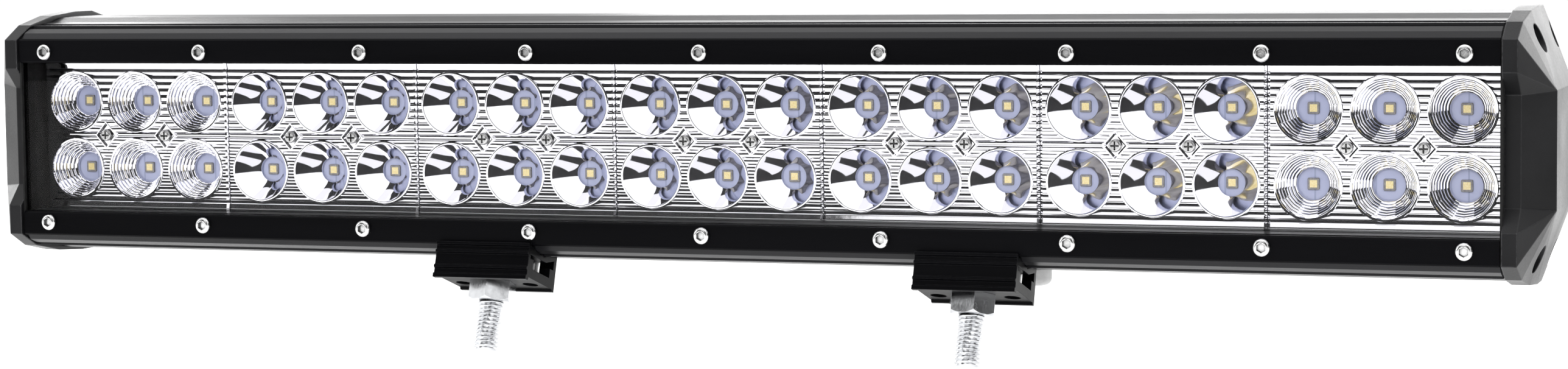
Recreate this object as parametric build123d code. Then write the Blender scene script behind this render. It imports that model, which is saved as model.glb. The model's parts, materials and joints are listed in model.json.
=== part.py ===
from build123d import *
from math import cos, radians, sin, sqrt
import os

# LED light bar, millimetres. Working frame: X along the bar, Y from the front face to the
# back, Z up, zero at mid-length and mid-height on the front face of the bezel strips.
# save() moves every piece to the part's own frame, whose origin is the middle of the foot rail.

# ---- driving dimensions -------------------------------------------------------------------
OVERALL_LENGTH = 508.0
CAP_DEPTH = 13.7             # end cap, along X
END_GASKET = 0.6
BODY_HALF = OVERALL_LENGTH / 2 - CAP_DEPTH - END_GASKET
CAP_BASE = BODY_HALF + END_GASKET

STRIP_T = 2.0                # bezel strips
STRIP_IN = 24.4
STRIP_OUT = 32.2
STRIP_SCREW_Z = 27.9
STRIP_SCREW_PITCH = 57.5
STRIP_SCREW_COUNT = 9

LENS_T = 3.0
LENS_HALF = 25.5
LENS_SEAL = 1.0
CHANNEL_HALF = STRIP_IN      # the LED channel's half height
REBATE_HALF = 25.8
RIM_Y = 14.25                # front face of the reflectors
BOARD_Y = 23.6               # front face of the LED boards
BOARD_T = 1.6
PAD_T = 0.3
WEB_FRONT = BOARD_Y + BOARD_T + PAD_T
WEB_BACK = WEB_FRONT + 4.5

MODULES = 7
MODULE_PITCH = 68.45
LED_PITCH = 22.17
ROW_Z = LED_PITCH / 2
CUP_MOUTH_R = 9.85
CUP_THROAT_R = 4.75
CUP_DEPTH = 8.15
CUP_WALL = 1.1
CHIP = 3.45
MODULE_SCREW_R = 1.1

CAVITY_BACK = 43.5           # driver cavity behind the web
CAVITY_HALF = 20.0
GUIDE_FRONT = 34.0           # slots in its walls that hold the driver board
FIN_ROOT = 47.0
FIN_TIP = 62.5
FIN_PITCH = 7.2
FIN_GAP = 5.0

RAIL_FRONT = 8.8             # rib of the foot rail, between two undercut grooves
RAIL_BACK = 12.6
RAIL_Z = 36.3
RAIL_Y = (RAIL_FRONT + RAIL_BACK) / 2

FOOT_TILT = 18.0             # the feet sit square to the sloping front of the housing
FOOT_WIDTH = 31.8
FOOT_LEFT_X = -72.6
FOOT_RIGHT_X = 84.4
FOOT_FRONT = 7.6             # foot section, along the slope (s) and out from it (n)
FOOT_BACK = 29.8
FOOT_TOP = 30.2
FOOT_BASE = 40.6
FOOT_LIP = 41.6
STUD_S = (FOOT_FRONT + FOOT_BACK) / 2
FOOT_WALL = 2.0
FOOT_FLOOR = 3.0
SLOT_TOP = 33.4              # the foot's T-slot, which holds the bolt's head
SLOT_STEP = 34.6
BOLT_R = 4.0                 # the stud's free end; inside the foot and nut it has its pitch radius
BOLT_INNER_R = 3.6
BOLT_HEAD_T = 4.1
BOLT_HEAD_N = FOOT_BASE - FOOT_FLOOR - BOLT_HEAD_T
BOLT_AF = 13.0
BOLT_LENGTH = 25.0
NUT_T = 6.5
LOCK_SCREW_X = 11.5
FIT = 0.3                    # gap between a foot and the housing

CAP_SCREWS = [(19.0, 31.5), (19.0, -31.5), (48.0, 32.0), (48.0, -32.0)]
CAP_SCREW_SEAT = CAP_BASE + 4.0
GLAND_X = 150.0
WIRE_HOLE_X = 112.0
VENT_X = 93.5
VENT_Y = 39.0
BAND_Z = 38.9                # widest half height of the housing

ORIGIN = Vector(0, RAIL_Y, -RAIL_Z)
COLUMNS = (-1, 0, 1)
SIDES = (-1, 1)
X_DIR = Vector(1, 0, 0)
Y_DIR = Vector(0, 1, 0)
Z_DIR = Vector(0, 0, 1)


# ---- helpers ------------------------------------------------------------------------------
def save(node, *solids):
    """Write one node, moved so that the foot rail's middle is the origin."""
    placed = [solid.moved(Location(-ORIGIN)) for solid in solids]
    export_step(placed[0] if len(placed) == 1 else Compound(children=placed), f"parts/{node}.step")


def rod(radius, start, direction, length):
    """A round bar from start, along direction."""
    base = Plane(origin=start, z_dir=direction)
    return base * Cylinder(radius, length, align=(Align.CENTER, Align.CENTER, Align.MIN))


def block(x0, x1, y0, y1, z0, z1):
    """A box between two corners."""
    centre = Pos((x0 + x1) / 2, (y0 + y1) / 2, (z0 + z1) / 2)
    return centre * Box(x1 - x0, y1 - y0, z1 - z0)


def hexagon(across_flats, plane, height, turn=0.0):
    """A hexagonal prism standing on a plane, turned about its normal."""
    outline = Rot(0, 0, turn) * RegularPolygon(across_flats / 2, 6, major_radius=False)
    return extrude(plane * outline, height)


def section(points):
    """A closed outline in the Y-Z plane."""
    return Plane.YZ * make_face(Polyline(*points, close=True))


def along_bar(face, half=BODY_HALF):
    """Extrude a Y-Z section both ways from mid-length."""
    return extrude(face, half, both=True)


def module_x(index):
    return (index - (MODULES - 1) / 2) * MODULE_PITCH


def led_places(index):
    """The six LED centres of one module."""
    return [(module_x(index) + c * LED_PITCH, s * ROW_Z) for c in COLUMNS for s in SIDES]


def module_screw_xs(index):
    """Two screws per module, between its columns of cups."""
    return [module_x(index) + s * LED_PITCH / 2 for s in SIDES]


def strip_screw_xs():
    middle = (STRIP_SCREW_COUNT - 1) / 2
    return [(i - middle) * STRIP_SCREW_PITCH for i in range(STRIP_SCREW_COUNT)]


# ---- housing ------------------------------------------------------------------------------
def half_outline():
    """Upper half of the housing's outside, from the strip seat to the back."""
    return [
        (STRIP_T, STRIP_OUT), (3.4, 34.0), (6.6, 35.3), (RAIL_FRONT, 35.3),
        (RAIL_FRONT, RAIL_Z), (RAIL_BACK, RAIL_Z), (14.6, 36.7), (20.0, 37.2),
        (26.0, 38.6), (32.0, BAND_Z), (44.0, BAND_Z), (54.0, 36.8), (FIN_TIP, 31.0),
    ]


def housing_outline():
    upper = half_outline()
    lower = [(y, -z) for y, z in reversed(upper)]
    return section(upper + lower)


def window(y0, y1, z0, z1):
    """A rectangle in the Y-Z plane."""
    return section([(y0, z0), (y1, z0), (y1, z1), (y0, z1)])


def rail_grooves(side):
    """Two undercut grooves, one each side of the rail's rib."""
    spans = [(7.0, RAIL_FRONT, 31.6, 37.0), (5.4, RAIL_FRONT, 31.6, 33.4),
             (RAIL_BACK, 14.6, 32.2, 38.0), (RAIL_BACK, 15.6, 32.2, 34.2)]
    return [window(y0, y1, *sorted((side * z0, side * z1))) for y0, y1, z0, z1 in spans]


def fin_gaps():
    """The slots between the cooling fins, open to the back."""
    gaps = []
    for side in SIDES:
        for step in range(5):
            root = FIN_ROOT if step < 4 else FIN_ROOT + 6.5
            z = side * (step + 0.5) * FIN_PITCH
            gaps.append(window(root, 70, z - FIN_GAP / 2, z + FIN_GAP / 2))
    return gaps


def housing_section():
    """The extrusion: LED channel, lens rebate, driver cavity with guide slots, fins, rails."""
    face = housing_outline()
    rebate_back = STRIP_T + LENS_T + LENS_SEAL
    cuts = [
        window(0, WEB_FRONT, -CHANNEL_HALF, CHANNEL_HALF),
        window(0, rebate_back, -REBATE_HALF, REBATE_HALF),
        window(WEB_BACK, CAVITY_BACK, -CAVITY_HALF, CAVITY_HALF),
        window(GUIDE_FRONT, GUIDE_FRONT + 1.8, -CAVITY_HALF - 1.2, CAVITY_HALF + 1.2),
    ]
    cuts += fin_gaps()
    for side in SIDES:
        cuts.append(window(24.0, 42.0, *sorted((side * 27.4, side * 33.8))))
        cuts += rail_grooves(side)
    for cut in cuts:
        face -= cut
    return face


def housing():
    body = along_bar(housing_section())
    for side in SIDES:
        for x in strip_screw_xs():
            body -= rod(1.55, (x, 0, side * STRIP_SCREW_Z), Y_DIR, 11.0)
        for y, z in CAP_SCREWS:
            body -= rod(2.05, (side * (BODY_HALF - 14), y, z), X_DIR * side, 15.0)
    for index in range(MODULES):
        for x in module_screw_xs(index):
            body -= rod(MODULE_SCREW_R + 0.05, (x, WEB_FRONT - 1, 0), Y_DIR, 6.5)
    body -= rod(11.0, (GLAND_X, FIN_ROOT, 0), Y_DIR, 20.0)
    body -= rod(6.05, (GLAND_X, CAVITY_BACK - 1, 0), Y_DIR, 6.0)
    body -= rod(3.05, (VENT_X, VENT_Y, -BAND_Z - 1), Z_DIR, 7.0)
    return body - rod(3.0, (WIRE_HOLE_X, WEB_FRONT - 1, 0), Y_DIR, 7.0)


# ---- front: bezel strips, lens, seals --------------------------------------------------------
def bezel_strip(side):
    strip = block(-BODY_HALF, BODY_HALF, 0, STRIP_T, STRIP_IN, STRIP_OUT)
    front_edges = strip.edges().filter_by(Axis.X).group_by(Axis.Y)[0]
    strip = chamfer(front_edges, 0.5)
    strip = strip - [rod(1.6, (x, -1, STRIP_SCREW_Z), Y_DIR, 4.0) for x in strip_screw_xs()]
    return strip if side > 0 else mirror(strip, about=Plane.XY)


def button_screw(start, direction, shank_r, length, head_r, head_t, socket_af):
    """A button-head screw: start is the centre of the seat, direction is into the work."""
    seat = Plane(origin=start, z_dir=-direction)
    head = seat * Cylinder(head_r, head_t, align=(Align.CENTER, Align.CENTER, Align.MIN))
    rim = head.edges().sort_by(lambda e: e.center().dot(-direction))[-1]
    head = fillet(rim, head_t * 0.62)
    socket = hexagon(socket_af, seat.offset(head_t * 0.35), head_t)
    return head - socket + rod(shank_r, start, direction, length)


def strip_screws(side):
    return [
        button_screw(Vector(x, 0, side * STRIP_SCREW_Z), Y_DIR, 1.5, 9.0, 2.6, 1.65, 2.6)
        for x in strip_screw_xs()
    ]


def lens():
    return block(-BODY_HALF, BODY_HALF, STRIP_T, STRIP_T + LENS_T, -LENS_HALF, LENS_HALF)


def lens_seal(side):
    back = STRIP_T + LENS_T
    low, high = sorted((side * CHANNEL_HALF, side * LENS_HALF))
    return block(-BODY_HALF, BODY_HALF, back, back + LENS_SEAL, low, high)


# ---- reflectors and LED boards ---------------------------------------------------------------
def cup_radius(depth):
    """Parabola from the mouth to the throat."""
    slope = (CUP_MOUTH_R ** 2 - CUP_THROAT_R ** 2) / CUP_DEPTH
    return sqrt(CUP_MOUTH_R ** 2 - slope * depth)


def bowl(thickness):
    """A solid of the spot cup's shape, grown by a wall thickness, axis +Z from the mouth."""
    mouth = CUP_MOUTH_R + thickness
    middle = cup_radius(CUP_DEPTH / 2) + thickness
    throat = CUP_THROAT_R + thickness
    wall = ThreePointArc((mouth, 0), (middle, CUP_DEPTH / 2), (throat, CUP_DEPTH))
    rest = Polyline((throat, CUP_DEPTH), (0, CUP_DEPTH), (0, 0), (mouth, 0))
    return revolve(Plane.XZ * make_face(wall + rest), Axis.Z)


def stepped_bore():
    """Inside of a flood cup: the same bowl in six rings, axis +Z from the mouth."""
    rings = 6
    points = [(0, 0), (CUP_MOUTH_R, 0)]
    for ring in range(1, rings + 1):
        depth = CUP_DEPTH * ring / rings
        points.append((cup_radius(depth) + 0.35, depth))
        if ring < rings:
            points.append((cup_radius(depth), depth))
    points.append((0, CUP_DEPTH))
    return revolve(Plane.XZ * make_face(Polyline(*points, close=True)), Axis.Z)


def reflector(index, bore):
    x = module_x(index)
    half = MODULE_PITCH / 2 - 0.1
    edge = CHANNEL_HALF - 0.15
    body = block(x - half, x + half, RIM_Y, RIM_Y + 1.6, -edge, edge)
    outer = bowl(CUP_WALL)
    for cup_x, cup_z in led_places(index):
        body += Plane(origin=(cup_x, RIM_Y, cup_z), z_dir=(0, 1, 0)) * outer
    for screw_x in module_screw_xs(index):
        body += rod(2.9, (screw_x, RIM_Y + 1, 0), Y_DIR, BOARD_Y - RIM_Y - 1.0)
    for cup_x, cup_z in led_places(index):
        body -= Plane(origin=(cup_x, RIM_Y, cup_z), z_dir=(0, 1, 0)) * bore
    for screw_x in module_screw_xs(index):
        body -= rod(MODULE_SCREW_R + 0.2, (screw_x, RIM_Y - 1, 0), Y_DIR, 12.0)
        body -= rod(2.3, (screw_x, RIM_Y - 1, 0), Y_DIR, 1.9)
    return body


def module_screw(x):
    """Cross-recessed pan head that holds a reflector and its board to the web."""
    seat_y = RIM_Y + 0.9
    head = rod(1.95, (x, seat_y, 0), -Y_DIR, 1.3)
    head = fillet(head.edges().sort_by(Axis.Y)[0], 0.6)
    for half_x, half_z in ((1.3, 0.25), (0.25, 1.3)):
        head -= block(x - half_x, x + half_x, seat_y - 2.0, seat_y - 0.6, -half_z, half_z)
    return head + rod(MODULE_SCREW_R, (x, seat_y, 0), Y_DIR, 13.0)


def led_board(index):
    x = module_x(index)
    half = MODULE_PITCH / 2 - 0.3
    edge = CHANNEL_HALF - 0.5
    board = block(x - half, x + half, BOARD_Y, BOARD_Y + BOARD_T, -edge, edge)
    hole_r = MODULE_SCREW_R + 0.3
    return board - [rod(hole_r, (sx, BOARD_Y - 1, 0), Y_DIR, 4.0) for sx in module_screw_xs(index)]


def thermal_pad(index):
    x = module_x(index)
    front = BOARD_Y + BOARD_T
    pad = block(x - 33, x + 33, front, front + PAD_T, -23, 23)
    return pad - [rod(2.0, (sx, front - 1, 0), Y_DIR, 3.0) for sx in module_screw_xs(index)]


def led_package(x, z):
    half = CHIP / 2
    body = block(x - half, x + half, BOARD_Y - 0.7, BOARD_Y, z - half, z + half)
    return chamfer(body.edges().filter_by(Axis.Y), 0.25)


def led_emitter(x, z):
    return block(x - 1.1, x + 1.1, BOARD_Y - 0.8, BOARD_Y - 0.7, z - 1.1, z + 1.1)


# ---- driver inside the rear cavity -------------------------------------------------------------
def driver_board():
    return block(20, 130, 34.1, 35.7, -CAVITY_HALF - 1.0, CAVITY_HALF + 1.0)


def driver_components():
    """Coils, capacitors, switches and a terminal block on the back of the driver board."""
    back = 35.7
    parts = [rod(6.0, (35 + 18 * i, back, -9), Y_DIR, 5.5) for i in range(4)]
    parts += [rod(3.2, (32 + 12 * i, back, 12), Y_DIR, 7.2) for i in range(5)]
    parts += [block(98, 108, back, back + 2.4, -14 + 11 * i, -6 + 11 * i) for i in range(3)]
    parts.append(block(116, 127, back, back + 6.5, -8, 8))
    return parts


# ---- end caps ------------------------------------------------------------------------------
def cap_rim():
    """Upper rim of a cap from the notch round to the back: (outer x, y, z)."""
    outer = CAP_BASE + 4.3
    return [
        (outer + 0.3, 5.5, 16.0), (outer, -0.9, 22.5), (outer, -0.9, 31.9), (outer + 0.3, 8.0, 36.5),
        (outer + 0.9, 22.0, 39.3), (outer + 1.4, 36.0, 40.4), (outer + 1.4, 46.0, 40.4),
        (outer + 0.9, 57.0, 37.8), (outer + 0.4, 65.0, 31.5),
    ]


def flat_face(*points):
    return Face(Wire.make_polygon([Vector(*p) for p in points]))


def cap_shell():
    """A faceted boss: upright middle face, slopes to the rim, stepped-back front notch."""
    rim = cap_rim()
    peak_x = OVERALL_LENGTH / 2
    front_peak = (peak_x, 12.5, 17.0)
    back_peak = (peak_x, 53.0, 17.0)

    def down(point):
        return (point[0], point[1], -point[2])

    def base(point):
        return (CAP_BASE, point[1], point[2])

    loop = rim + [down(p) for p in reversed(rim)]
    faces = [flat_face(*[base(p) for p in loop])]
    for first, second in zip(loop, loop[1:] + loop[:1]):
        faces.append(flat_face(base(first), base(second), second, first))
    fans = [(rim[i], rim[i + 1], front_peak) for i in range(5)]
    fans.append((rim[5], rim[6], back_peak, front_peak))
    fans += [(rim[i], rim[i + 1], back_peak) for i in (6, 7)]
    for fan in fans:
        faces.append(flat_face(*fan))
        faces.append(flat_face(*[down(p) for p in fan]))
    faces.append(flat_face(rim[0], front_peak, down(front_peak), down(rim[0])))
    faces.append(flat_face(rim[8], back_peak, down(back_peak), down(rim[8])))
    faces.append(flat_face(front_peak, back_peak, down(back_peak), down(front_peak)))
    return Solid(Shell(faces))


def end_cap(side):
    cap = cap_shell() - block(CAP_BASE - 1, CAP_BASE + 9.5, 17, 49, -14, 14)
    for y, z in CAP_SCREWS:
        cap -= rod(2.25, (CAP_BASE - 1, y, z), X_DIR, 20.0)
        cap -= rod(4.1, (CAP_SCREW_SEAT, y, z), X_DIR, 20.0)
    return cap if side > 0 else mirror(cap, about=Plane.YZ)


def end_gasket(side):
    upper = [(0.8, 31.2), (5.0, 34.4), (8.8, 35.2), (20.0, 36.4), (32.0, 38.2), (44.0, 38.2),
             (54.0, 36.0), (61.5, 30.6)]
    face = section(upper + [(y, -z) for y, z in reversed(upper)])
    gasket = Pos(BODY_HALF, 0, 0) * extrude(face, END_GASKET)
    gasket -= block(BODY_HALF - 1, CAP_BASE + 1, 31, 43, -19, 19)
    gasket -= [rod(2.2, (BODY_HALF - 1, y, z), X_DIR, 4.0) for y, z in CAP_SCREWS]
    return gasket if side > 0 else mirror(gasket, about=Plane.YZ)


def cap_screws(side):
    return [
        button_screw(Vector(side * CAP_SCREW_SEAT, y, z), X_DIR * -side, 2.0, 16.0, 3.6, 2.4, 2.5)
        for y, z in CAP_SCREWS
    ]


# ---- feet ----------------------------------------------------------------------------------
def foot_point(s, n):
    """Slope coordinates to (y, z): s runs back along the slope, n points down and forward."""
    tilt = radians(FOOT_TILT)
    return (s * cos(tilt) - n * sin(tilt), -s * sin(tilt) - n * cos(tilt))


def foot_plane(x, s, n):
    """A plane across the stud, facing the stud's tip."""
    tilt = radians(FOOT_TILT)
    y, z = foot_point(s, n)
    return Plane(origin=(x, y, z), x_dir=(1, 0, 0), z_dir=(0, -sin(tilt), -cos(tilt)))


def foot_section():
    """Ribbed front, flat base between a front and a back lip, plain back."""
    recess = FOOT_FRONT + 0.7
    outline = [
        (FOOT_FRONT, FOOT_TOP), (FOOT_FRONT, 31.0), (recess, 31.4), (recess, 32.5), (FOOT_FRONT, 32.9),
        (FOOT_FRONT, 33.5), (recess, 33.9), (recess, 37.3), (FOOT_FRONT, 37.7), (FOOT_FRONT, 38.3),
        (recess, 38.7), (recess, 40.0), (FOOT_FRONT, 40.4), (FOOT_FRONT, FOOT_LIP),
        (FOOT_FRONT + 1.8, FOOT_LIP), (FOOT_FRONT + 2.4, FOOT_BASE), (FOOT_BACK - 1.7, FOOT_BASE),
        (FOOT_BACK - 1.3, FOOT_BASE + 0.7), (FOOT_BACK, FOOT_BASE + 0.7),
        (FOOT_BACK, 22.0), (20.0, 22.0), (FOOT_FRONT + 1.0, FOOT_TOP),
    ]
    return section([foot_point(s, n) for s, n in outline])


def foot_slot():
    """T-slot along the foot: the bolt's head slides in from an end and can't turn."""
    floor = FOOT_BASE - FOOT_FLOOR + 0.02
    front, back = FOOT_FRONT + FOOT_WALL, FOOT_BACK - FOOT_WALL
    narrow = BOLT_AF / 2 + 0.05
    outline = [
        (front, SLOT_TOP), (STUD_S + 3.0, SLOT_TOP), (back, SLOT_TOP - 1.8), (back, SLOT_STEP),
        (STUD_S + narrow, SLOT_STEP), (STUD_S + narrow, floor),
        (STUD_S - narrow, floor), (STUD_S - narrow, SLOT_STEP), (front, SLOT_STEP),
    ]
    return section([foot_point(s, n) for s, n in outline])


def housing_clearance():
    """What the foot has to stay clear of: the housing and the strips, with the fit added."""
    strips = section([(0, -STRIP_OUT), (0, STRIP_OUT), (STRIP_T, STRIP_OUT), (STRIP_T, -STRIP_OUT)])
    return offset(housing_outline() + strips, FIT, kind=Kind.INTERSECTION)


def foot_tongues():
    """Two L-shaped tongues that run in the rail's undercut grooves."""
    front = section([(RAIL_FRONT - 0.2, -37.2), (7.25, -37.2), (7.25, -33.1), (5.7, -33.1),
                     (5.7, -31.9), (RAIL_FRONT - 0.2, -31.9)])
    back = section([(RAIL_BACK + 0.2, -37.6), (RAIL_BACK + 0.2, -32.5), (15.3, -32.5),
                    (15.3, -33.9), (14.35, -33.9), (14.35, -37.6)])
    return [front, back]


def foot(x):
    half = FOOT_WIDTH / 2
    face = foot_section() - housing_clearance()
    for tongue in foot_tongues():
        face += tongue
    face -= foot_slot()
    body = Pos(x, 0, 0) * extrude(face, half, both=True)
    hole = foot_plane(x, STUD_S, BOLT_HEAD_N + 1.0)
    body -= extrude(hole * Circle(BOLT_R + 0.2), 12)
    for offset_x in (-LOCK_SCREW_X, LOCK_SCREW_X):
        body -= extrude(foot_plane(x + offset_x, 21.4, 30.0) * Circle(2.5), 12)
    return body


def mount_bolt(x):
    """M8 bolt: captive hexagon head and the stud that passes through the foot."""
    top = foot_plane(x, STUD_S, BOLT_HEAD_N)
    head = hexagon(BOLT_AF - 0.1, top, BOLT_HEAD_T)
    inner_length = FOOT_FLOOR + NUT_T
    inner = extrude(top.offset(BOLT_HEAD_T - 0.5) * Circle(BOLT_INNER_R), inner_length + 0.5)
    free = extrude(top.offset(BOLT_HEAD_T + inner_length) * Circle(BOLT_R), BOLT_LENGTH - inner_length)
    tip = free.edges().sort_by(lambda e: e.center().dot(top.z_dir))[-1]
    return head + inner + chamfer(tip, 0.8)


def mount_nut(x, turn):
    base = foot_plane(x, STUD_S, FOOT_BASE)
    nut = hexagon(BOLT_AF, base, NUT_T, turn)
    blank = extrude(base * Circle(7.9), NUT_T - 1.3)
    crown = base.offset(NUT_T - 1.3) * Cone(7.9, 6.6, 1.3,
                                            align=(Align.CENTER, Align.CENTER, Align.MIN))
    return nut & (blank + crown) - extrude(base.offset(-1) * Circle(BOLT_INNER_R + 0.03), 12)


def lock_screws(x):
    """Socket set screws that press on the rail's rib and hold the foot."""
    screws = []
    for offset_x in (-LOCK_SCREW_X, LOCK_SCREW_X):
        base = foot_plane(x + offset_x, 21.4, 32.15)
        body = extrude(base * Circle(2.48), 7.5)
        socket = hexagon(2.5, base.offset(5.0), 4.0)
        screws.append(body - socket)
    return screws


# ---- gland and vent ---------------------------------------------------------------------------
def gland_body():
    seat = Plane(origin=(GLAND_X, FIN_ROOT, 0), z_dir=(0, 1, 0))
    body = hexagon(15.0, seat, 4.0) + rod(6.0, (GLAND_X, CAVITY_BACK, 0), Y_DIR, 3.6)
    body += rod(5.6, (GLAND_X, FIN_ROOT + 4, 0), Y_DIR, 5.0)
    return body - rod(3.9, (GLAND_X, CAVITY_BACK - 1, 0), Y_DIR, 20.0)


def gland_nut():
    seat = Plane(origin=(GLAND_X, FIN_ROOT + 4.2, 0), z_dir=(0, 1, 0))
    dome = rod(7.2, (GLAND_X, FIN_ROOT + 4.2, 0), Y_DIR, 9.3)
    end = dome.edges().sort_by(Axis.Y)[-1]
    nut = fillet(end, 2.5) & hexagon(13.6, seat, 10.0)
    nut -= rod(5.65, (GLAND_X, FIN_ROOT + 4, 0), Y_DIR, 6.5)
    return nut - rod(3.9, (GLAND_X, FIN_ROOT, 0), Y_DIR, 20.0)


def gland_seal():
    ring = rod(3.85, (GLAND_X, FIN_ROOT + 1, 0), Y_DIR, 11.0)
    return ring - rod(2.9, (GLAND_X, FIN_ROOT, 0), Y_DIR, 20.0)


def vent_plug():
    down = Vector(0, 0, -1)
    seat = (VENT_X, VENT_Y, -BAND_Z - 0.6)
    cap = rod(6.0, seat, down, 5.2)
    rim = cap.edges().sort_by(Axis.Z)[0]
    return fillet(rim, 2.4) + rod(3.0, (VENT_X, VENT_Y, -BAND_Z + 4.9), down, 6.0)


def vent_seal():
    ring = rod(5.2, (VENT_X, VENT_Y, -BAND_Z), Vector(0, 0, -1), 0.6)
    return ring - rod(3.05, (VENT_X, VENT_Y, -BAND_Z + 1), Vector(0, 0, -1), 3.0)


# ---- write the nodes --------------------------------------------------------------------------
def side_name(side):
    return "right" if side > 0 else "left"


def level_name(side):
    return "top" if side > 0 else "bottom"


def main():
    os.makedirs("parts", exist_ok=True)
    save("housing", housing())
    save("front_lens", lens())
    for side in SIDES:
        level = level_name(side)
        save(f"bezel_strip_{level}", bezel_strip(side))
        save(f"bezel_screws_{level}", *strip_screws(side))
        save(f"lens_seal_{level}", lens_seal(side))
        end = side_name(side)
        save(f"end_cap_{end}", end_cap(side))
        save(f"end_gasket_{end}", end_gasket(side))
        save(f"end_cap_screws_{end}", *cap_screws(side))

    flood, spot = stepped_bore(), bowl(0)
    for index in range(MODULES):
        is_flood = index in (0, MODULES - 1)
        kind = "flood" if is_flood else "spot"
        save(f"reflector_{kind}_{index + 1}", reflector(index, flood if is_flood else spot))
        save(f"led_board_{index + 1}", led_board(index))
    leds = [place for index in range(MODULES) for place in led_places(index)]
    save("led_packages", *[led_package(x, z) for x, z in leds])
    save("led_emitters", *[led_emitter(x, z) for x, z in leds])
    screw_xs = [x for index in range(MODULES) for x in module_screw_xs(index)]
    save("reflector_screws", *[module_screw(x) for x in screw_xs])
    save("thermal_pads", *[thermal_pad(index) for index in range(MODULES)])

    save("driver_board", driver_board())
    save("driver_components", *driver_components())
    save("cable_gland_body", gland_body())
    save("cable_gland_nut", gland_nut())
    save("cable_gland_seal", gland_seal())
    save("vent_plug", vent_plug())
    save("vent_seal", vent_seal())

    for name, x, nut_turn in (("left", FOOT_LEFT_X, 22), ("right", FOOT_RIGHT_X, 10)):
        save(f"foot_{name}", foot(x))
        save(f"mount_bolt_{name}", mount_bolt(x))
        save(f"mount_nut_{name}", mount_nut(x, nut_turn))
        save(f"foot_lock_screws_{name}", *lock_screws(x))


main()
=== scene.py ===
import json
import math

import bmesh
import bpy
from mathutils import Matrix, Vector

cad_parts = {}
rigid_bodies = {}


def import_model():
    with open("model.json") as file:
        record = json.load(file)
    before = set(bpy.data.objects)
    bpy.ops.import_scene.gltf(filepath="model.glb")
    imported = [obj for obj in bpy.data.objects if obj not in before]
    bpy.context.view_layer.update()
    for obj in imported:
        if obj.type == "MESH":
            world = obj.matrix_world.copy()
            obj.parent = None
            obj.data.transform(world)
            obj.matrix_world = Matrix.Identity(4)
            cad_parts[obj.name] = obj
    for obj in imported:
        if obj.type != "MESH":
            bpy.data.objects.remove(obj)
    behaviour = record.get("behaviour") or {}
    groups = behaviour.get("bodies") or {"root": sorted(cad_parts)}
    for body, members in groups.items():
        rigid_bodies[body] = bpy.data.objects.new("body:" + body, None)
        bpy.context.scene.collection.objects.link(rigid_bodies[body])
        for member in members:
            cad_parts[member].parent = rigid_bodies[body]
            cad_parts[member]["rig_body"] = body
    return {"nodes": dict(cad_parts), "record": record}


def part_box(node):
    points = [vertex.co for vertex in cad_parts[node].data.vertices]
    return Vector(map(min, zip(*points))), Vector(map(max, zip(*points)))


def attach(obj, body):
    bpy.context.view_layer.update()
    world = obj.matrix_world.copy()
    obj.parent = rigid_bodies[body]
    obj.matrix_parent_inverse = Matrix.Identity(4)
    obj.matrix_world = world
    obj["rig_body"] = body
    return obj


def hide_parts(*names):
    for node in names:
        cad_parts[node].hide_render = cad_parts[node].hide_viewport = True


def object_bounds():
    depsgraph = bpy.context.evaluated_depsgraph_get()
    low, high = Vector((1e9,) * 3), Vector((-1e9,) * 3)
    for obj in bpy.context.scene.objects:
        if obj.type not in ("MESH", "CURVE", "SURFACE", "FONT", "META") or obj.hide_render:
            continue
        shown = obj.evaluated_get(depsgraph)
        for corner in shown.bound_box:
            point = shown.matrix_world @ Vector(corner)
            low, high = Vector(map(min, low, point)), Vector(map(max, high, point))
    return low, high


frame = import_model()
cad_low, cad_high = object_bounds()

# LED light bar. Metres, X along the bar, -Y is the lens side, Z up.
MM = 0.001
LED_PITCH = 22.17 * MM
COLUMNS = (-1, 0, 1)
SIDES = (-1, 1)
FLOOR_DROP = 60 * MM


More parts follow.
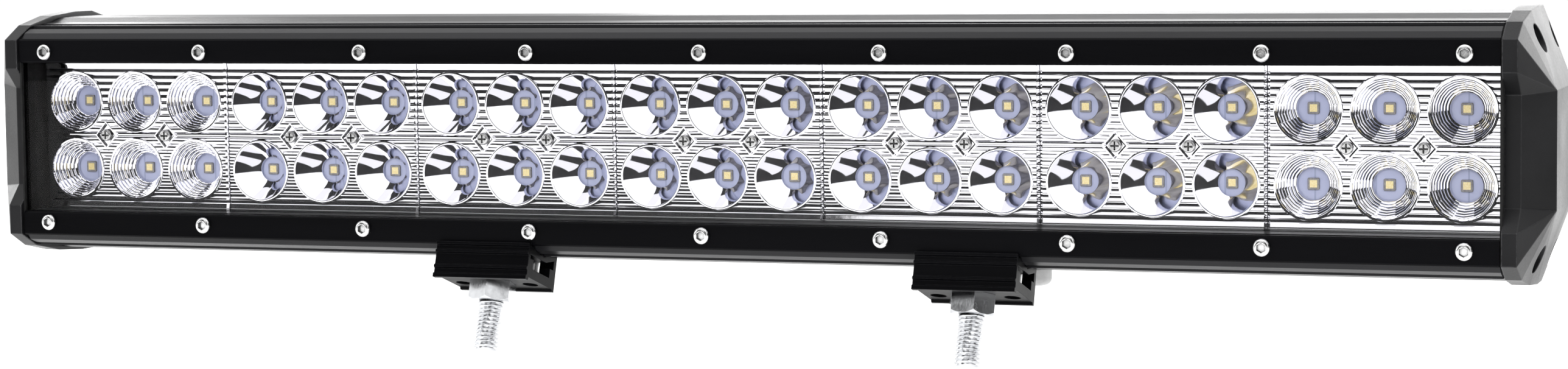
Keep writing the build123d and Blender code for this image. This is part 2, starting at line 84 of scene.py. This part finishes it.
# ---- materials: a small set of node helpers --------------------------------------------------
class Recipe:
    """One Principled material with helpers for the patterns that feed it."""

    def __init__(self, name, colour, roughness, metallic=0.0, ior=1.45, coat=0.0):
        self.material = bpy.data.materials.new(name)
        self.material.use_nodes = True
        self.tree = self.material.node_tree
        self.shader = self.tree.nodes["Principled BSDF"]
        self.place = self.node("ShaderNodeTexCoord").outputs["Object"]
        self.set("Base Color", (*colour, 1.0))
        self.set("Roughness", roughness)
        self.set("Metallic", metallic)
        self.set("IOR", ior)
        self.set("Coat Weight", coat)

    def node(self, kind, **settings):
        made = self.tree.nodes.new(kind)
        for key, value in settings.items():
            setattr(made, key, value)
        return made

    def set(self, socket, value):
        self.shader.inputs[socket].default_value = value

    def link(self, source, target):
        self.tree.links.new(source, target)

    def stretched(self, scale):
        """Object coordinates scaled per axis, for grain that runs one way."""
        mapping = self.node("ShaderNodeMapping")
        mapping.inputs["Scale"].default_value = scale
        self.link(self.place, mapping.inputs["Vector"])
        return mapping.outputs["Vector"]

    def noise(self, size, detail=2.0, stretch=(1.0, 1.0, 1.0), rough=0.5):
        """Noise whose blotches are about size metres across, from 0 to 1."""
        texture = self.node("ShaderNodeTexNoise")
        texture.inputs["Scale"].default_value = 1.0 / size
        texture.inputs["Detail"].default_value = detail
        texture.inputs["Roughness"].default_value = rough
        self.link(self.stretched(stretch), texture.inputs["Vector"])
        return texture.outputs["Fac"]

    def ramp(self, value, low, high, low_to=0.0, high_to=1.0):
        """Spread value so that low..high becomes low_to..high_to, clamped."""
        spread = self.node("ShaderNodeMapRange")
        limits = {"From Min": low, "From Max": high, "To Min": low_to, "To Max": high_to}
        for socket, number in limits.items():
            spread.inputs[socket].default_value = number
        self.link(value, spread.inputs["Value"])
        return spread.outputs["Result"]

    def maths(self, operation, first, second):
        made = self.node("ShaderNodeMath", operation=operation)
        for socket, value in zip(made.inputs, (first, second)):
            if isinstance(value, (int, float)):
                socket.default_value = value
            else:
                self.link(value, socket)
        return made.outputs["Value"]

    def colours(self, factor, first, second):
        """Mix two colours; each is a tuple or a socket."""
        mix = self.node("ShaderNodeMix", data_type="RGBA")
        self.link(factor, mix.inputs["Factor"])
        for socket, colour in ((mix.inputs[6], first), (mix.inputs[7], second)):
            if isinstance(colour, tuple):
                socket.default_value = (*colour, 1.0)
            else:
                self.link(colour, socket)
        return mix.outputs[2]

    def edges(self, radius, low=0.02, high=0.35):
        """1 where an outer or inner edge lies within radius, 0 on flat faces."""
        rounded = self.node("ShaderNodeBevel", samples=6)
        rounded.inputs["Radius"].default_value = radius
        plain = self.node("ShaderNodeNewGeometry").outputs["Normal"]
        product = self.node("ShaderNodeVectorMath", operation="DOT_PRODUCT")
        self.link(rounded.outputs["Normal"], product.inputs[0])
        self.link(plain, product.inputs[1])
        return self.ramp(self.maths("SUBTRACT", 1.0, product.outputs["Value"]), low, high)

    def corners(self, reach, low=0.35, high=0.75):
        """Painted-shade mask: 0 on open faces, up to 1 deep in sockets, grooves and corners."""
        open_share = self.node("ShaderNodeAmbientOcclusion", samples=8)
        open_share.inputs["Distance"].default_value = reach
        return self.ramp(open_share.outputs["AO"], low, high, 1.0, 0.0)

    def bump(self, height, distance, strength=1.0, rounding=0.0):
        """Bump from a height socket, on top of shader-rounded edges if rounding is given."""
        made = self.node("ShaderNodeBump")
        made.inputs["Distance"].default_value = distance
        made.inputs["Strength"].default_value = strength
        self.link(height, made.inputs["Height"])
        if rounding:
            rounded = self.node("ShaderNodeBevel", samples=6)
            rounded.inputs["Radius"].default_value = rounding
            self.link(rounded.outputs["Normal"], made.inputs["Normal"])
        self.link(made.outputs["Normal"], self.shader.inputs["Normal"])


def coated(name, colour, worn, roughness, streak, texture, edge, ior=1.3):
    """Black coat on aluminium: faint streaks or blotches, fine texture, thin paler edges."""
    made = Recipe(name, colour, roughness, ior=ior)
    blotch = made.noise(0.02, 4.0, streak)
    paler = tuple(c * 1.8 + 0.0006 for c in colour)
    base = made.colours(made.ramp(blotch, 0.35, 0.7), colour, paler)
    ragged = made.ramp(made.noise(0.0012, 4.0, rough=0.7), 0.3, 0.6)
    rub = made.maths("MULTIPLY", made.edges(edge), ragged)
    made.link(made.colours(rub, base, worn), made.shader.inputs["Base Color"])
    grain = made.noise(texture, 3.0, streak)
    uneven = made.maths("ADD", made.ramp(blotch, 0.3, 0.7, roughness - 0.05, roughness + 0.06),
                        made.ramp(grain, 0.3, 0.7, -0.03, 0.03))
    made.link(uneven, made.shader.inputs["Roughness"])
    made.bump(grain, texture * 0.06, 0.5, rounding=edge)
    return made.material


def bright_metal(name, colour, roughness, grain_size, stretch, reach, low, high):
    """Bare or plated steel: fine scratches, faint cloudiness, painted shade darkening corners up to
    reach wide.
    """
    made = Recipe(name, colour, roughness, metallic=1.0)
    cloud = made.noise(0.003, 3.0)
    base = made.colours(made.ramp(cloud, 0.35, 0.75), colour, tuple(c * 0.8 for c in colour))
    # Painted shade: the base colour falls to 6 % deep in sockets, grooves and corners, where shadow
    # falls.
    painted_shade = made.corners(reach, low, high)
    shaded_base = made.colours(painted_shade, base, tuple(c * 0.06 for c in colour))
    made.link(shaded_base, made.shader.inputs["Base Color"])
    scratch = made.noise(grain_size, 3.0, stretch)
    uneven = made.maths("ADD", made.ramp(cloud, 0.3, 0.7, roughness - 0.05, roughness + 0.05),
                        made.ramp(scratch, 0.3, 0.7, -0.04, 0.04))
    made.link(uneven, made.shader.inputs["Roughness"])
    made.bump(scratch, 0.00001, 0.5, rounding=0.00015)
    return made.material


def mirror_coat():
    """Vacuum-metallised plastic: nearly perfect, with a slight orange peel."""
    made = Recipe("reflector_chrome", (0.95, 0.945, 0.985), 0.04, metallic=1.0)
    haze = made.noise(0.004, 3.0)
    made.link(made.ramp(haze, 0.3, 0.7, 0.02, 0.07), made.shader.inputs["Roughness"])
    made.bump(made.noise(0.0025, 2.0), 0.00001, 0.35)
    return made.material


def clear_lens():
    """Polycarbonate: glass that lets lamps through, with a few fine scratches."""
    made = Recipe("clear_lens", (1.0, 1.0, 1.0), 0.0, ior=1.14)
    made.set("Transmission Weight", 1.0)
    scratches = made.noise(0.0009, 4.0, (0.15, 1.0, 1.0), rough=0.8)
    made.link(made.ramp(scratches, 0.62, 0.8, 0.0, 0.06), made.shader.inputs["Roughness"])
    through = made.node("ShaderNodeBsdfTransparent")
    path = made.node("ShaderNodeLightPath")
    mix = made.node("ShaderNodeMixShader")
    made.link(path.outputs["Is Shadow Ray"], mix.inputs["Fac"])
    made.link(made.shader.outputs["BSDF"], mix.inputs[1])
    made.link(through.outputs["BSDF"], mix.inputs[2])
    made.link(mix.outputs["Shader"], made.tree.nodes["Material Output"].inputs["Surface"])
    return made.material


def led_board_paint():
    """Pale lavender solder mask with faint copper traces under it."""
    made = Recipe("white_board", (0.50, 0.54, 0.74), 0.35, coat=0.3)
    traces = made.node("ShaderNodeTexBrick", offset=0.35, squash=1.6)
    traces.inputs["Scale"].default_value = 90.0
    traces.inputs["Mortar Size"].default_value = 0.025
    made.link(made.stretched((1.0, 1.0, 1.0)), traces.inputs["Vector"])
    mottled = made.colours(made.noise(0.006, 3.0), (0.44, 0.48, 0.70), (0.54, 0.57, 0.77))
    base = made.colours(traces.outputs["Fac"], mottled, (0.36, 0.40, 0.60))
    made.link(base, made.shader.inputs["Base Color"])
    made.bump(made.noise(0.0008, 2.0), 0.00002, 0.4)
    return made.material


def led_ceramic():
    """Grey ceramic package with a dark outline."""
    made = Recipe("led_ceramic", (0.55, 0.54, 0.55), 0.4)
    speck = made.noise(0.0006, 3.0)
    base = made.colours(made.ramp(speck, 0.35, 0.65), (0.34, 0.33, 0.33), (0.22, 0.21, 0.22))
    outlined = made.colours(made.edges(0.00035, 0.01, 0.2), base, (0.07, 0.06, 0.06))
    made.link(outlined, made.shader.inputs["Base Color"])
    made.bump(speck, 0.00002, 0.5)
    return made.material


def led_phosphor():
    """Fine yellow phosphor grains under clear silicone."""
    made = Recipe("led_phosphor", (0.85, 0.70, 0.25), 0.3, coat=1.0)
    grains = made.noise(0.0003, 3.0)
    base = made.colours(made.ramp(grains, 0.35, 0.65), (0.95, 0.82, 0.45), (0.85, 0.68, 0.28))
    made.link(base, made.shader.inputs["Base Color"])
    made.bump(grains, 0.00001, 0.4)
    return made.material


def plain_moulding(name, colour, roughness, grain_size=0.0006, ior=1.45):
    """Moulded or cut plastic, rubber or board: mottled colour and a fine skin."""
    made = Recipe(name, colour, roughness, ior=ior)
    mottle = made.noise(0.004, 4.0)
    paler = tuple(c * 1.35 + 0.004 for c in colour)
    base = made.colours(made.ramp(mottle, 0.3, 0.7), colour, paler)
    made.link(base, made.shader.inputs["Base Color"])
    skin = made.noise(grain_size, 3.0)
    uneven = made.ramp(skin, 0.3, 0.7, roughness - 0.06, roughness + 0.06)
    made.link(uneven, made.shader.inputs["Roughness"])
    made.bump(skin, grain_size * 0.08, 0.5, rounding=0.0002)
    return made.material


def make_materials():
    along = (0.08, 1.0, 1.0)
    even = (1.0, 1.0, 1.0)
    return {
        "black_extrusion": coated("black_extrusion", (0.007, 0.007, 0.008), (0.07, 0.07, 0.08),
                                  0.30, along, 0.0005, 0.00025),
        "strip_paint": coated("strip_paint", (0.0012, 0.0012, 0.0016), (0.02, 0.02, 0.024),
                              0.32, along, 0.0005, 0.0002, ior=1.12),
        "cast_cap_paint": coated("cast_cap_paint", (0.004, 0.004, 0.0045), (0.12, 0.12, 0.125),
                                 0.34, even, 0.0006, 0.0006, ior=1.3),
        "foot_black": coated("foot_black", (0.001, 0.001, 0.0013), (0.03, 0.03, 0.033), 0.32,
                             along, 0.0004, 0.0003, ior=1.12),
        "stainless_screws": bright_metal("stainless_screws", (0.80, 0.80, 0.80), 0.18, 0.0004, even,
                                         0.012, 0.3, 0.6),
        "zinc_steel": bright_metal("zinc_steel", (0.77, 0.78, 0.80), 0.2, 0.0005, (1.0, 1.0, 0.3),
                                   0.005, 0.15, 0.45),
        "clear_lens": clear_lens(),
        "reflector_chrome": mirror_coat(),
        "white_board": led_board_paint(),
        "led_ceramic": led_ceramic(),
        "led_phosphor": led_phosphor(),
        "thermal_pad": plain_moulding("thermal_pad", (0.35, 0.42, 0.50), 0.8),
        "green_board": plain_moulding("green_board", (0.02, 0.14, 0.05), 0.4),
        "component_plastic": plain_moulding("component_plastic", (0.03, 0.03, 0.035), 0.5),
        "black_rubber": plain_moulding("black_rubber", (0.006, 0.006, 0.006), 0.75, ior=1.3),
        "black_nylon": plain_moulding("black_nylon", (0.02, 0.02, 0.021), 0.45),
        "vent_grey": plain_moulding("vent_grey", (0.42, 0.42, 0.42), 0.45),
    }


MATERIALS = make_materials()
SLOT_OF = {row["node"]: row["material_slot"] for row in frame["record"]["subparts"]}
for node, piece in frame["nodes"].items():
    piece.data.materials.clear()
    piece.data.materials.append(MATERIALS[SLOT_OF[node]])


# ---- mesh helpers ------------------------------------------------------------------------------
def mesh_piece(name, points, faces, slot, sharp_degrees=30.0):
    """A smooth-shaded mesh piece with sharp edges past an angle."""
    mesh = bpy.data.meshes.new(name)
    mesh.from_pydata([tuple(p) for p in points], [], faces)
    outward = bmesh.new()
    outward.from_mesh(mesh)
    bmesh.ops.recalc_face_normals(outward, faces=outward.faces)
    outward.to_mesh(mesh)
    outward.free()
    mesh.polygons.foreach_set("use_smooth", [True] * len(mesh.polygons))
    mesh.set_sharp_from_angle(angle=math.radians(sharp_degrees))
    mesh.materials.append(MATERIALS[slot])
    piece = bpy.data.objects.new(name, mesh)
    bpy.context.scene.collection.objects.link(piece)
    return piece


def stand_in(piece, node):
    """The piece rides on node's body and replaces it."""
    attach(piece, frame["nodes"][node]["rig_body"])
    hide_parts(node)
    return piece


def turned_ring(profile, segments):
    """A closed (radius, depth) profile turned about the depth axis, which is +Y."""
    points, faces = [], []
    count = len(profile)
    for step in range(segments):
        angle = math.tau * step / segments
        for radius, depth in profile:
            points.append(Vector((radius * math.cos(angle), depth, radius * math.sin(angle))))
    for step in range(segments):
        here, there = step * count, (step + 1) % segments * count
        for index in range(count):
            after = (index + 1) % count
            faces.append((here + index, there + index, there + after, here + after))
    return points, faces


def cut_away(piece, cutters):
    """Boolean difference with every cutter, applied; the cutters are removed."""
    collection = bpy.data.collections.new("cutters")
    for cutter in cutters:
        bpy.context.scene.collection.objects.unlink(cutter)
        collection.objects.link(cutter)
    bpy.context.scene.collection.children.link(collection)
    modifier = piece.modifiers.new("cut", "BOOLEAN")
    modifier.operation = "DIFFERENCE"
    modifier.operand_type = "COLLECTION"
    modifier.collection = collection
    modifier.solver = "EXACT"
    graph = bpy.context.evaluated_depsgraph_get()
    result = bpy.data.meshes.new_from_object(piece.evaluated_get(graph))
    piece.modifiers.clear()
    piece.data = result
    for cutter in cutters:
        bpy.data.objects.remove(cutter)
    bpy.data.collections.remove(collection)


# ---- reflectors --------------------------------------------------------------------------------
# Depths run backwards from the top of a cup's rim; CREST is the depth of the ribs' crests.
MOUTH_R = 9.35 * MM
SPOT_THROAT_R = 4.1 * MM
FLOOD_THROAT_R = 4.75 * MM
BOWL_DEPTH = 8.15 * MM
STRAIGHTNESS = 0.4
RIB_PITCH = 2.1 * MM
RIB_HEIGHT = 0.42 * MM
GUTTER_HALF = 0.85 * MM
CREST = 0.25 * MM
PLATE_T = 1.6 * MM
PLATE_CHAMFER = 0.8 * MM
RIB_STEPS = 10
BORDER_Z = GUTTER_HALF + 10 * RIB_PITCH
FLOOD_RINGS = 7
FLOOD_SIDES = 18
FLOOD_RISER = 0.45 * MM
FLOOD_BULGE = 0.13 * MM
CUP_WALL = 0.9 * MM
THROAT_LIP = 0.5 * MM
CUP_CUT_R = MOUTH_R + 0.55 * MM
POCKET_CUT = 3.9 * MM
CUT_FRONT, CUT_BACK = -2 * MM, 6 * MM


def rib_depth(z):
    """How far behind the rim's crest the ribbed front lies at height z above the middle."""
    if abs(z) < GUTTER_HALF:
        return CREST + RIB_HEIGHT * math.cos(math.pi * z / (2 * GUTTER_HALF))
    if abs(z) > BORDER_Z:
        return CREST + max(0.0, 0.3 * MM - 0.19 * (abs(z) - BORDER_Z))
    phase = (abs(z) - GUTTER_HALF) / RIB_PITCH
    return CREST + RIB_HEIGHT * (1.0 - abs(math.sin(math.pi * phase)))


def ribbed_plate(half_x, half_z):
    """A plate with rounded ribs along X on its front; its two ends are chamfered."""
    heights = [GUTTER_HALF * share for share in (-0.999, -0.6, -0.3, 0.0, 0.3, 0.6, 0.999)]
    step = RIB_PITCH / RIB_STEPS
    reach = int((half_z - GUTTER_HALF) / step)
    for side in SIDES:
        heights += [side * (GUTTER_HALF + step * i) for i in range(reach + 1)]
    heights += [-half_z, half_z]
    outline = [(z, rib_depth(z)) for z in sorted(heights)]
    back = CREST + RIB_HEIGHT + PLATE_T
    outline += [(half_z, back), (-half_z, back)]
    sections = [(-half_x, PLATE_CHAMFER), (-half_x + PLATE_CHAMFER, 0.0),
                (half_x - PLATE_CHAMFER, 0.0), (half_x, PLATE_CHAMFER)]
    return loft([[Vector((x, depth if depth == back else depth + sunk, z)) for z, depth in outline]
                 for x, sunk in sections])


def bowl_radius(depth, throat_r):
    """Between a parabola and a cone, from the mouth to the throat."""
    slope = (MOUTH_R ** 2 - throat_r ** 2) / BOWL_DEPTH
    parabola = math.sqrt(max(MOUTH_R ** 2 - slope * depth, 0.0))
    cone = MOUTH_R + (throat_r - MOUTH_R) * depth / BOWL_DEPTH
    return parabola + (cone - parabola) * STRAIGHTNESS


def rim_profile():
    """The bright raised ring round a cup, from outside in."""
    steps = [(0.84, 1.5), (0.80, 0.22), (0.68, 0.04), (0.56, 0.0), (0.08, 0.05)]
    return [(MOUTH_R + out * MM, depth * MM) for out, depth in steps]


def cup_profile(inner):
    """Rim, mirrored inside, throat lip and the outside of the cup's wall."""
    throat_r = inner[-1][0]
    outer = [(r + CUP_WALL, d) for r, d in inner[::-3]]
    end = BOWL_DEPTH + THROAT_LIP
    lip = [(throat_r, end), (throat_r + CUP_WALL, end)]
    return rim_profile() + inner + lip + outer[1:-1]


def spot_profile():
    """A smooth bowl that starts at the depth of the ribs' crests."""
    steps = 18
    inner = []
    for step in range(steps + 1):
        depth = BOWL_DEPTH * step / steps
        inner.append((bowl_radius(depth, SPOT_THROAT_R), depth + CREST * (1 - step / steps)))
    return cup_profile(inner)


def flood_profile():
    """Rings that each bulge like a cushion and turn more towards the front than the bowl does."""
    steps = 4
    inner = []
    for ring in range(FLOOD_RINGS):
        top, bottom = (BOWL_DEPTH * k / FLOOD_RINGS for k in (ring, ring + 1))
        outer_r = bowl_radius(top, FLOOD_THROAT_R)
        inner_r = bowl_radius(bottom, FLOOD_THROAT_R)
        start = max(top + FLOOD_RISER, 0.5 * MM)
        for step in range(steps + 1):
            share = step / steps
            lift = FLOOD_BULGE * 4 * share * (1 - share)
            radius = outer_r + (inner_r - outer_r) * share - lift
            inner.append((radius, start + (bottom - start) * share - lift))
    inner.append((FLOOD_THROAT_R, BOWL_DEPTH))
    return cup_profile(inner)


def loft(loops):
    """A closed skin over loops of equal length, with both ends capped."""
    count = len(loops[0])
    points = [point for loop in loops for point in loop]
    faces = [tuple(range(count))[::-1], tuple(range(len(points) - count, len(points)))]
    for first in range(0, len(points) - count, count):
        for index in range(count):
            after = (index + 1) % count
            faces.append((first + index, first + after, first + count + after, first + count + index))
    return points, faces


def at_depth(outline, y):
    return [Vector((x, y, z)) for x, z in outline]


def prism(outline, front, back):
    """A closed prism along Y from an (x, z) outline."""
    return loft([at_depth(outline, front), at_depth(outline, back)])


def circle(radius, segments, x, z):
    steps = [math.tau * i / segments for i in range(segments)]
    return [(x + radius * math.cos(a), z + radius * math.sin(a)) for a in steps]


def module_cups():
    return [(c * LED_PITCH, s * LED_PITCH / 2) for c in COLUMNS for s in SIDES]


def diamond(half, x):
    return [(x - half, 0.0), (x, -half * 1.15), (x + half, 0.0), (x, half * 1.15)]


def screw_pocket(x):
    """A framed diamond with sloping walls round a module screw."""
    steps = [(4.15, 1.45), (4.1, 0.3), (3.95, 0.12), (3.5, 0.12), (2.75, 0.95)]
    return loft([at_depth(diamond(half * MM, x), depth * MM) for half, depth in steps])


def reflector_mesh(kind, half_x, half_z):
    """One module: ribbed plate, six cups with rims, two diamond pockets for its screws."""
    plate = mesh_piece(f"{kind}_plate", *ribbed_plate(half_x, half_z), "reflector_chrome")
    cutters = []
    for x, z in module_cups():
        cutters.append(prism(circle(CUP_CUT_R, 96, x, z), CUT_FRONT, CUT_BACK))
    for side in SIDES:
        x = side * LED_PITCH / 2
        cutters.append(prism(diamond(POCKET_CUT, x), CUT_FRONT, CUT_BACK))
    cut_away(plate, [mesh_piece("cutter", *shape, "reflector_chrome") for shape in cutters])

    profile = flood_profile() if kind == "flood" else spot_profile()
    points, faces = turned_ring(profile, FLOOD_SIDES * 4)
    if kind == "flood":
        points = faceted(points, len(profile))
    joined = bmesh.new()
    joined.from_mesh(plate.data)
    for x, z in module_cups():
        corners = [joined.verts.new(p + Vector((x, 0.0, z))) for p in points]
        for face in faces:
            joined.faces.new([corners[i] for i in face])
    for side in SIDES:
        points, faces = screw_pocket(side * LED_PITCH / 2)
        corners = [joined.verts.new(p) for p in points]
        for face in faces:
            joined.faces.new([corners[i] for i in face])
    bmesh.ops.recalc_face_normals(joined, faces=joined.faces)
    mesh = bpy.data.meshes.new(f"{kind}_reflector")
    joined.to_mesh(mesh)
    joined.free()
    bpy.data.objects.remove(plate)
    mesh.polygons.foreach_set("use_smooth", [True] * len(mesh.polygons))
    mesh.set_sharp_from_angle(angle=math.radians(12.0 if kind == "flood" else 30.0))
    mesh.materials.clear()
    mesh.materials.append(MATERIALS["reflector_chrome"])
    return mesh


def faceted(points, count):
    """Pull the bowl's points part of the way onto flat facets, under a round rim."""
    rim_points = len(rim_profile())
    sector = math.tau / FLOOD_SIDES
    moved = []
    for index, point in enumerate(points):
        if index % count < rim_points:
            moved.append(point)
            continue
        angle = math.atan2(point.z, point.x)
        offset = (angle + sector / 2) % sector - sector / 2
        flat = 0.35 + 0.65 * math.cos(sector / 2) / math.cos(offset)
        moved.append(Vector((point.x * flat, point.y, point.z * flat)))
    return moved


def make_reflectors():
    meshes = {}
    names = sorted(n for n in frame["nodes"] if n.startswith("reflector_"))
    for node in names:
        if node == "reflector_screws":
            continue
        low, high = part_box(node)
        kind = node.split("_")[1]
        if kind not in meshes:
            meshes[kind] = reflector_mesh(kind, (high.x - low.x) / 2, (high.z - low.z) / 2)
        piece = bpy.data.objects.new(f"{node}_mirror", meshes[kind])
        bpy.context.scene.collection.objects.link(piece)
        piece.location = ((low.x + high.x) / 2, low.y, (low.z + high.z) / 2)
        stand_in(piece, node)


make_reflectors()


# ---- threaded bolts ----------------------------------------------------------------------------
THREAD_PITCH = 1.25 * MM
BOLT_HEAD_T = 4.1 * MM
BOLT_END = 29.09 * MM
BOLT_WALL_MIDDLE = 20.95 * MM
THREAD_R = 4.0 * MM
THREAD_DEPTH = 0.62 * MM
TIP_DROP = 0.8 * MM
HEAD_OVERLAP = 0.5 * MM


def thread_radius(height, angle):
    """M8 thread: 4 mm crest, a V-shaped groove, chamfered at the tip."""
    turn = (height / THREAD_PITCH - angle / math.tau) % 1.0
    groove = max(0.0, 1.0 - abs(turn - 0.5) / 0.44)
    return min(THREAD_R - THREAD_DEPTH * groove, THREAD_R - TIP_DROP + (BOLT_END - height))


def bolt_mesh():
    """A hexagon head from 0 to its thickness, then the threaded stud, along +Z."""
    sides, rows = 40, 100
    hexagon = [math.tau * i / 6 for i in range(6)]
    head = loft([[Vector((r * math.cos(a), r * math.sin(a), z)) for a in hexagon]
                 for r, z in ((7.0 * MM, 0.0), (7.4 * MM, 0.3 * MM), (7.4 * MM, BOLT_HEAD_T))])
    start = BOLT_HEAD_T - HEAD_OVERLAP
    loops = []
    for row in range(rows + 1):
        height = start + (BOLT_END - start) * row / rows
        loop = []
        for angle in (math.tau * i / sides for i in range(sides)):
            radius = thread_radius(height, angle)
            loop.append(Vector((radius * math.cos(angle), radius * math.sin(angle), height)))
        loops.append(loop)
    stud = loft(loops)
    shift = len(head[0])
    return head[0] + stud[0], head[1] + [tuple(i + shift for i in face) for face in stud[1]]


def make_bolts():
    mounts = {row["name"]: row for row in frame["record"]["mounts"]}
    for side in ("left", "right"):
        mount = mounts[f"stud_{side}"]
        axis = Vector(mount["axis"]).normalized()
        across = Vector((1.0, 0.0, 0.0))
        turn = Matrix((across, axis.cross(across), axis)).transposed()
        points, faces = bolt_mesh()
        points = [turn @ point for point in points]
        piece = mesh_piece(f"mount_bolt_{side}_threaded", points, faces, "zinc_steel", 25.0)
        piece.location = Vector(mount["pos_m"]) - axis * BOLT_WALL_MIDDLE
        stand_in(piece, f"mount_bolt_{side}")


make_bolts()


# ---- floor, light, camera --------------------------------------------------------------------
def soft_light(name, place, target, width, height, power):
    """A rectangular softbox at place, turned to target."""
    lamp = bpy.data.lights.new(name, "AREA")
    lamp.shape = "RECTANGLE"
    lamp.size, lamp.size_y = width, height
    lamp.energy = power
    made = bpy.data.objects.new(name, lamp)
    bpy.context.scene.collection.objects.link(made)
    made.location = place
    made.rotation_euler = (Vector(target) - Vector(place)).to_track_quat("-Z", "Y").to_euler()
    return made


def card(name, place, across, up, colour):
    """A flat rectangle of one plain colour: the floor or a studio flag."""
    centre, across, up = Vector(place), Vector(across), Vector(up)
    corners = [centre - across - up, centre + across - up,
               centre + across + up, centre - across + up]
    mesh = bpy.data.meshes.new(name)
    mesh.from_pydata([tuple(c) for c in corners], [], [(0, 1, 2, 3)])
    made = bpy.data.objects.new(name, mesh)
    bpy.context.scene.collection.objects.link(made)
    paint = Recipe(name, colour, 0.9, ior=1.05)
    shade = paint.colours(paint.noise(0.5, 2.0), colour, tuple(c * 0.985 for c in colour))
    paint.link(shade, paint.shader.inputs["Base Color"])
    mesh.materials.append(paint.material)
    return made


# Black cards that only mirrors see: (name, centre, half width, half height).
FLAGS = (
    ("left_flag", (-1.75, -2.4, 1.06), (0.95, 0.0, 0.0), (0.0, 0.0, 1.12)),
    ("right_flag", (1.05, -2.4, 1.06), (0.65, 0.0, 0.0), (0.0, 0.0, 1.12)),
    ("low_flag", (-0.2, -2.4, 0.27), (0.6, 0.0, 0.0), (0.0, 0.0, 0.33)),
    ("side_flag", (2.6, -0.45, 0.6), (0.0, 0.9, 0.0), (0.0, 0.0, 0.7)),
)


def make_studio():
    world = bpy.data.worlds.new("studio")
    world.use_nodes = True
    world.node_tree.nodes["Background"].inputs["Color"].default_value = (1.0, 1.0, 1.0, 1.0)
    world.node_tree.nodes["Background"].inputs["Strength"].default_value = 1.06
    bpy.context.scene.world = world
    floor_place = (0.0, 0.0, cad_low.z - FLOOR_DROP)
    card("floor", floor_place, (30.0, 0.0, 0.0), (0.0, 30.0, 0.0), (0.97, 0.97, 0.97))
    for name, place, across, up in FLAGS:
        flag = card(name, place, across, up, (0.02, 0.02, 0.02))
        flag.visible_camera = False
        flag.visible_diffuse = False
        flag.visible_shadow = False
    soft_light("overhead", (0.0, -0.2, 1.7), (0.0, 0.0, 0.0), 2.4, 1.2, 12.0)
    soft_light("front_left", (-1.9, -1.3, 0.8), (0.0, 0.0, 0.0), 0.9, 0.9, 5.0)
    soft_light("rear_right", (2.4, 2.4, 0.75), (0.1, 0.0, 0.0), 2.6, 1.3, 36.0)
    soft_light("rear_left", (-2.6, 2.0, 0.75), (-0.1, 0.0, 0.0), 2.2, 1.3, 30.0)
    soft_light("rear", (0.0, 3.0, 0.75), (0.0, 0.0, 0.0), 2.6, 1.1, 22.0)
    fill = soft_light("fill", (0.3, -2.0, 0.95), (0.0, 0.0, 0.0), 2.0, 1.0, 22.0)
    fill.visible_glossy = False
    fill.visible_transmission = False


CAMERA_PLACE = (0.360384, -0.936704, 0.099219)
CAMERA_YAW, CAMERA_PITCH, CAMERA_ROLL = -19.811, 4.3435, -0.6915
LENS_MM = 75.04


def make_camera():
    """Yaw about Z, then pitch down, then roll about the line of sight."""
    yaw, pitch, roll = (math.radians(a) for a in (CAMERA_YAW, CAMERA_PITCH, CAMERA_ROLL))
    level = Vector((math.sin(yaw), math.cos(yaw), 0.0))
    right = Vector((math.cos(yaw), -math.sin(yaw), 0.0))
    upright = Vector((0.0, 0.0, 1.0))
    ahead = level * math.cos(pitch) - upright * math.sin(pitch)
    above = upright * math.cos(pitch) + level * math.sin(pitch)
    camera = bpy.data.objects.new("camera", bpy.data.cameras.new("camera"))
    camera.data.lens = LENS_MM
    camera.data.sensor_width = 36.0
    bpy.context.scene.collection.objects.link(camera)
    across = right * math.cos(roll) + above * math.sin(roll)
    up = above * math.cos(roll) - right * math.sin(roll)
    turn = Matrix((across, up, -ahead)).transposed().to_4x4()
    camera.matrix_world = Matrix.Translation(CAMERA_PLACE) @ turn
    bpy.context.scene.camera = camera


make_studio()
make_camera()
bpy.context.scene.view_settings.view_transform = "Standard"
